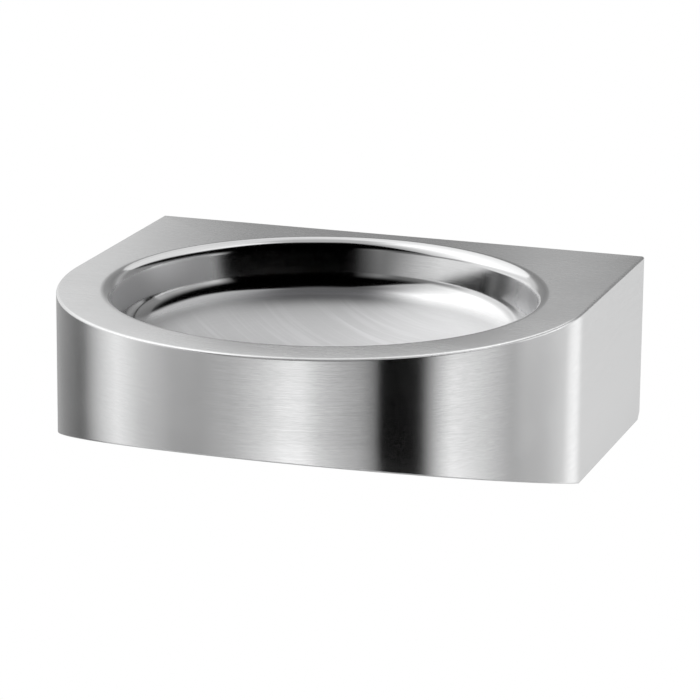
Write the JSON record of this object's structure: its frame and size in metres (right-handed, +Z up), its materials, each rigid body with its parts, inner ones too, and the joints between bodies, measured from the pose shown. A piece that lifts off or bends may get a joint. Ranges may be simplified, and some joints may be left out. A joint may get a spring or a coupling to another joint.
{
  "type": "wall-hung hand wash basin",
  "caption": "Wall-hung stainless steel hand wash basin: D-shaped deck, round drawn bowl, bent skirt with a rising underside, strainer waste and hook-on wall frame.",
  "frame": {"origin": "middle of the four wall fixings, on the wall's surface", "axes": "+X along the wall to the right of someone facing the basin, +Y into the wall, +Z up; the basin's round front faces -Y"},
  "size_m": [0.39, 0.3725, 0.128],
  "materials": {
    "brushed_steel": "fine satin brushed",
    "bowl_steel": "polished satin, brushed in arcs",
    "inner_steel": "plain mill finish",
    "fixings": "plain turned stainless",
    "plated_brass": "bright chrome",
    "black_rubber": "matt",
    "pad": "matt bitumen pad",
    "nylon": "matt"
  },
  "bodies": {
    "frame": {"wall_frame": "inner_steel", "frame_studs": "fixings", "stud_washers": "fixings", "stud_nuts": "fixings"},
    "basin": {"deck_plate": "brushed_steel", "bowl": "bowl_steel", "skirt": "brushed_steel", "bottom_return": "brushed_steel", "rear_rail": "inner_steel", "side_brackets": "inner_steel", "sound_pad": "pad", "waste_body": "plated_brass", "waste_grid": "brushed_steel", "grid_screw": "fixings", "flange_gasket": "black_rubber", "rubber_washer": "black_rubber", "slip_washer": "nylon", "backnut": "plated_brass", "earth_stud": "fixings", "earth_washer": "fixings", "earth_nut": "fixings"}
  },
  "joints": [
    {"name": "basin_lift", "type": "slide", "parent": "frame", "child": "basin", "axis": [0, 0, 1], "range_m": [0, 0.018]}
  ]
}
